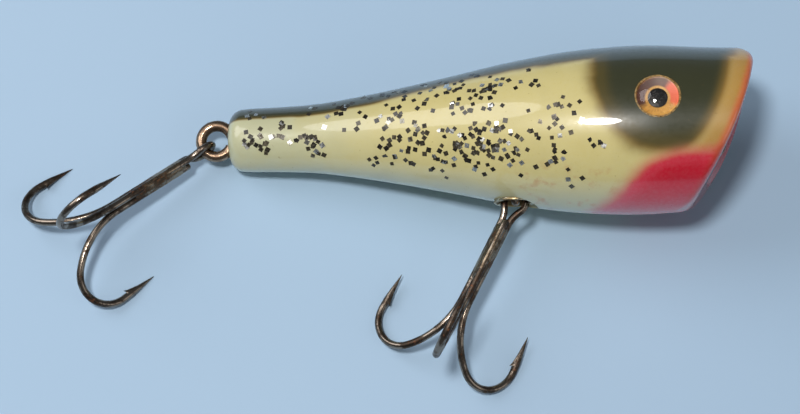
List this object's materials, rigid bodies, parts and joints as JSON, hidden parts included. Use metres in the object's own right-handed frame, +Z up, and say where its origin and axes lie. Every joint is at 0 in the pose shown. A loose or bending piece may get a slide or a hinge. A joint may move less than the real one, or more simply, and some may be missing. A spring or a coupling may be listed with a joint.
{
  "type": "topwater popper",
  "caption": "Slender turned wooden surface lure with a slanted cupped mouth, glass eyes, flaked lacquer and freely swinging treble hooks at the belly and the tail.",
  "frame": {"origin": "middle of the bounding box's underside, on the surface that the lure lies on", "axes": "+X towards the nose, along the lure's length; +Y towards the lure's back; +Z up, out of the right flank. The lure lies on its left side, resting on its head and its tail end, so its own axis rises 8.5 degrees towards the nose. It is also rolled 7.5 degrees about that axis, with the belly lower."},
  "size_m": [0.1062, 0.0488, 0.0266],
  "materials": {
    "lacquered_wood": "gloss lacquer, airbrushed, with metal flake",
    "eye_glass": "clear polished",
    "eye_paint": "amber enamel on the back of the glass",
    "pupil_paint": "black enamel",
    "eye_wire": "plain wire",
    "putty": "painted putty",
    "bronze_wire": "tarnished bronze wire",
    "cup_metal": "worn nickel plate",
    "hook_steel": "bronzed steel with rust spots",
    "braze_metal": "brazing metal"
  },
  "bodies": {
    "lure": {"wood_body": "lacquered_wood", "line_tie": "bronze_wire", "tail_screw_eye": "bronze_wire", "belly_cup": "cup_metal", "belly_screw_eye": "bronze_wire", "right_eye_glass": "eye_glass", "right_eye_iris": "eye_paint", "right_eye_pupil": "pupil_paint", "right_eye_stem": "eye_wire", "right_eye_bedding": "putty", "left_eye_glass": "eye_glass", "left_eye_iris": "eye_paint", "left_eye_pupil": "pupil_paint", "left_eye_stem": "eye_wire", "left_eye_bedding": "putty"},
    "tail_treble": {"tail_double_hook": "hook_steel", "tail_single_hook": "hook_steel", "tail_braze": "braze_metal"},
    "belly_treble": {"belly_double_hook": "hook_steel", "belly_single_hook": "hook_steel", "belly_braze": "braze_metal"}
  },
  "joints": [
    {"name": "tail_swing", "type": "hinge", "parent": "lure", "child": "tail_treble", "pos_m": [-0.02499, 0.01218, 0.00395], "axis": [-0.1465, -0.1305, 0.9806], "range_deg": [-125, 50]},
    {"name": "belly_swing", "type": "hinge", "parent": "lure", "child": "belly_treble", "pos_m": [0.01847, 0.00227, 0.00912], "axis": [-0.1465, -0.1305, 0.9806], "range_deg": [-25, 65]}
  ]
}
